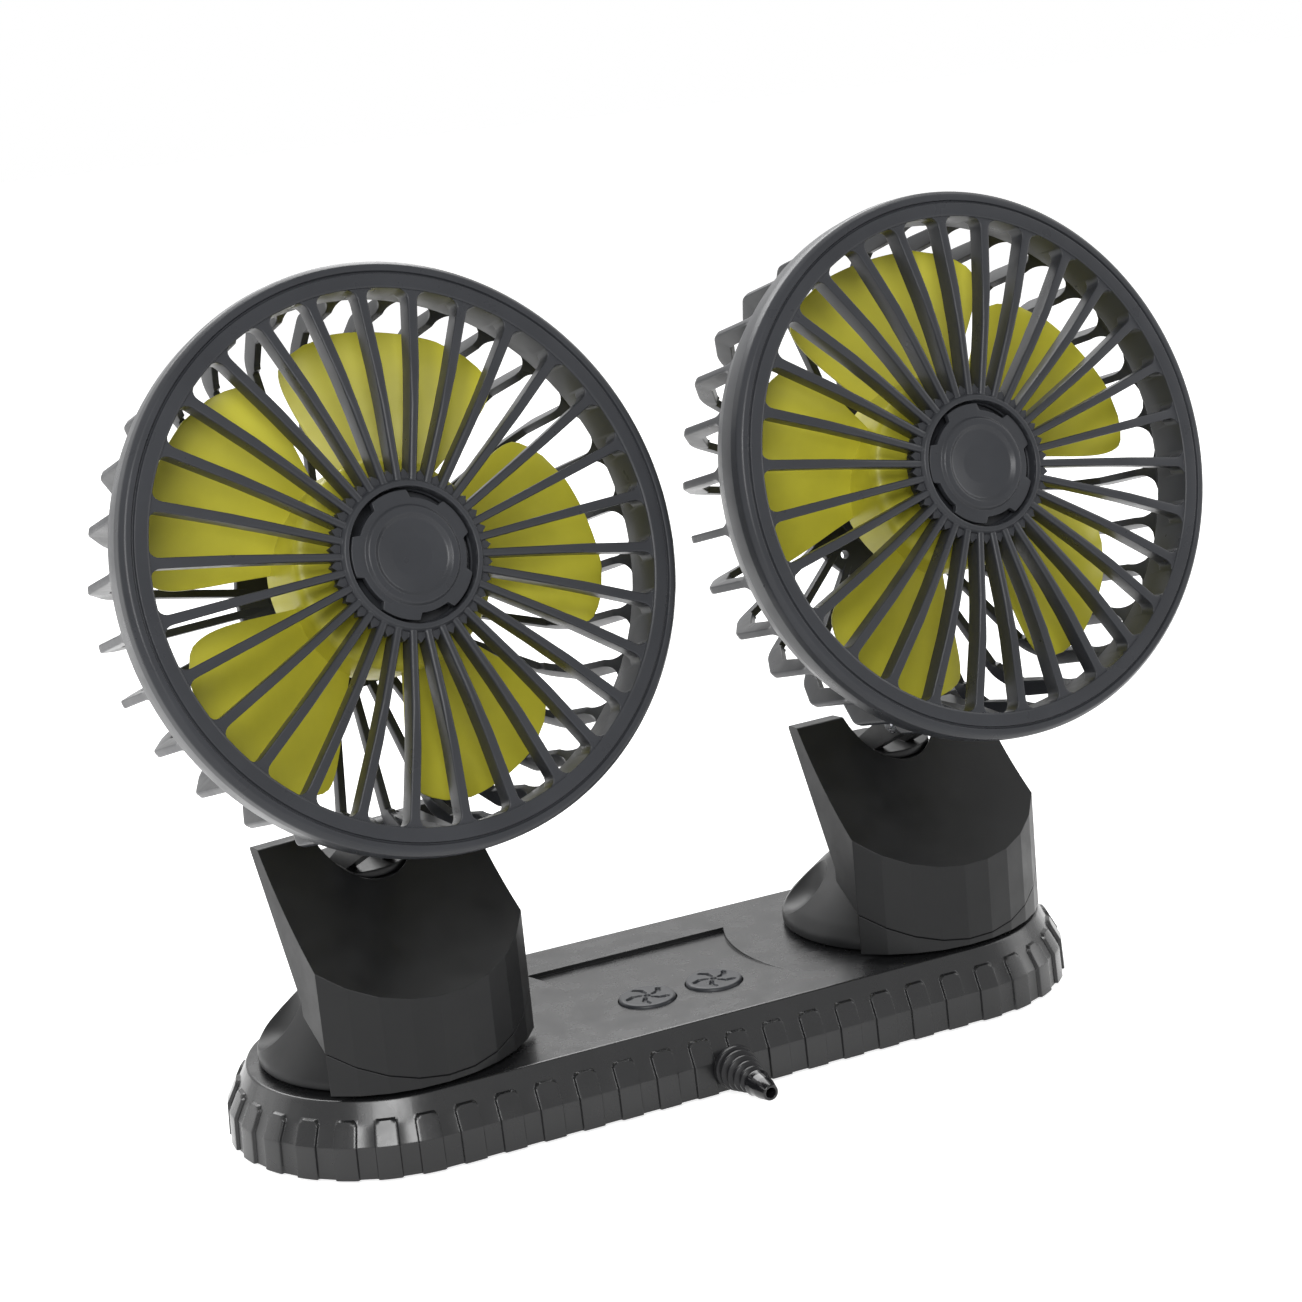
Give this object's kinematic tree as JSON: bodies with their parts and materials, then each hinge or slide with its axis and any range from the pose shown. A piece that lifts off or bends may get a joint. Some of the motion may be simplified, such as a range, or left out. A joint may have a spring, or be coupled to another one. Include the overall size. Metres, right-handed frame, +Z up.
{
  "type": "dual head car fan",
  "caption": "Car fan: guarded heads side by side, each tilting and turning on a scooped, swivelling arm over one long base with push buttons.",
  "frame": {"origin": "middle of the base's underside, on the surface it stands on", "axes": "+Z up, +X along the base, the fans and the push buttons face -Y"},
  "size_m": [0.262, 0.1034, 0.1992],
  "materials": {
    "charcoal_plastic": "satin",
    "dark_plastic": "satin",
    "olive_plastic": "satin",
    "steel": "satin",
    "rubber": "matt",
    "board": "satin"
  },
  "bodies": {
    "base": {"base_cover": "charcoal_plastic", "floor_plate": "dark_plastic", "rubber_mat": "rubber", "circuit_board": "board", "left_switch": "dark_plastic", "right_switch": "dark_plastic", "base_screw_front_left": "steel", "base_screw_front_right": "steel", "base_screw_rear_left": "steel", "base_screw_rear_right": "steel", "strain_relief": "dark_plastic"},
    "left_arm_group": {"left_foot": "charcoal_plastic", "left_foot_clip": "steel", "left_arm": "charcoal_plastic", "left_arm_screw_a": "steel", "left_arm_screw_b": "steel"},
    "left_neck_group": {"left_neck": "charcoal_plastic", "left_neck_washer": "steel", "left_neck_screw": "steel", "left_tilt_pin": "steel", "left_tilt_nut": "steel"},
    "left_head_group": {"left_front_guard": "charcoal_plastic", "left_hub_cap": "charcoal_plastic", "left_rear_shell": "charcoal_plastic", "left_motor": "steel", "left_motor_screw_a": "steel", "left_motor_screw_b": "steel"},
    "left_impeller_group": {"left_impeller": "olive_plastic", "left_motor_shaft": "steel"},
    "left_button_group": {"left_button": "charcoal_plastic"},
    "right_arm_group": {"right_foot": "charcoal_plastic", "right_foot_clip": "steel", "right_arm": "charcoal_plastic", "right_arm_screw_a": "steel", "right_arm_screw_b": "steel"},
    "right_neck_group": {"right_neck": "charcoal_plastic", "right_neck_washer": "steel", "right_neck_screw": "steel", "right_tilt_pin": "steel", "right_tilt_nut": "steel"},
    "right_head_group": {"right_front_guard": "charcoal_plastic", "right_hub_cap": "charcoal_plastic", "right_rear_shell": "charcoal_plastic", "right_motor": "steel", "right_motor_screw_a": "steel", "right_motor_screw_b": "steel"},
    "right_impeller_group": {"right_impeller": "olive_plastic", "right_motor_shaft": "steel"},
    "right_button_group": {"right_button": "charcoal_plastic"}
  },
  "joints": [
    {"name": "left_arm_swivel", "type": "hinge", "parent": "base", "child": "left_arm_group", "pos_m": [-0.069, 0, 0.0184], "axis": [0, 0, 1], "range_deg": [-170, 170]},
    {"name": "left_neck_swivel", "type": "hinge", "parent": "left_arm_group", "child": "left_neck_group", "pos_m": [-0.06996, 0.00542, 0.0596], "axis": [0, 0, 1], "range_deg": [-9.5, 14.5]},
    {"name": "left_head_tilt", "type": "hinge", "parent": "left_neck_group", "child": "left_head_group", "pos_m": [-0.06754, -0.01293, 0.0716], "axis": [-0.9914, -0.1305, 0], "range_deg": [-35, 40]},
    {"name": "left_impeller_spin", "type": "hinge", "parent": "left_head_group", "child": "left_impeller_group", "pos_m": [-0.06347, -0.04386, 0.13955], "axis": [0.1246, -0.9466, 0.2974], "continuous": true},
    {"name": "left_button_press", "type": "slide", "parent": "base", "child": "left_button_group", "axis": [0, 0, -1], "range_m": [0, 0.0008], "stiffness_N_per_m": 1500},
    {"name": "right_arm_swivel", "type": "hinge", "parent": "base", "child": "right_arm_group", "pos_m": [0.069, 0, 0.0184], "axis": [0, 0, 1], "range_deg": [-12, 170]},
    {"name": "right_neck_swivel", "type": "hinge", "parent": "right_arm_group", "child": "right_neck_group", "pos_m": [0.06862, 0.00549, 0.0596], "axis": [0, 0, 1], "range_deg": [-12, 12]},
    {"name": "right_head_tilt", "type": "hinge", "parent": "right_neck_group", "child": "right_head_group", "pos_m": [0.06991, -0.01297, 0.0716], "axis": [-0.9976, -0.0698, 0], "range_deg": [-35, 40]},
    {"name": "right_impeller_spin", "type": "hinge", "parent": "right_head_group", "child": "right_impeller_group", "pos_m": [0.0723, -0.04725, 0.13801], "axis": [0.0675, -0.9654, 0.2521], "continuous": true},
    {"name": "right_button_press", "type": "slide", "parent": "base", "child": "right_button_group", "axis": [0, 0, -1], "range_m": [0, 0.0008], "stiffness_N_per_m": 1500}
  ]
}
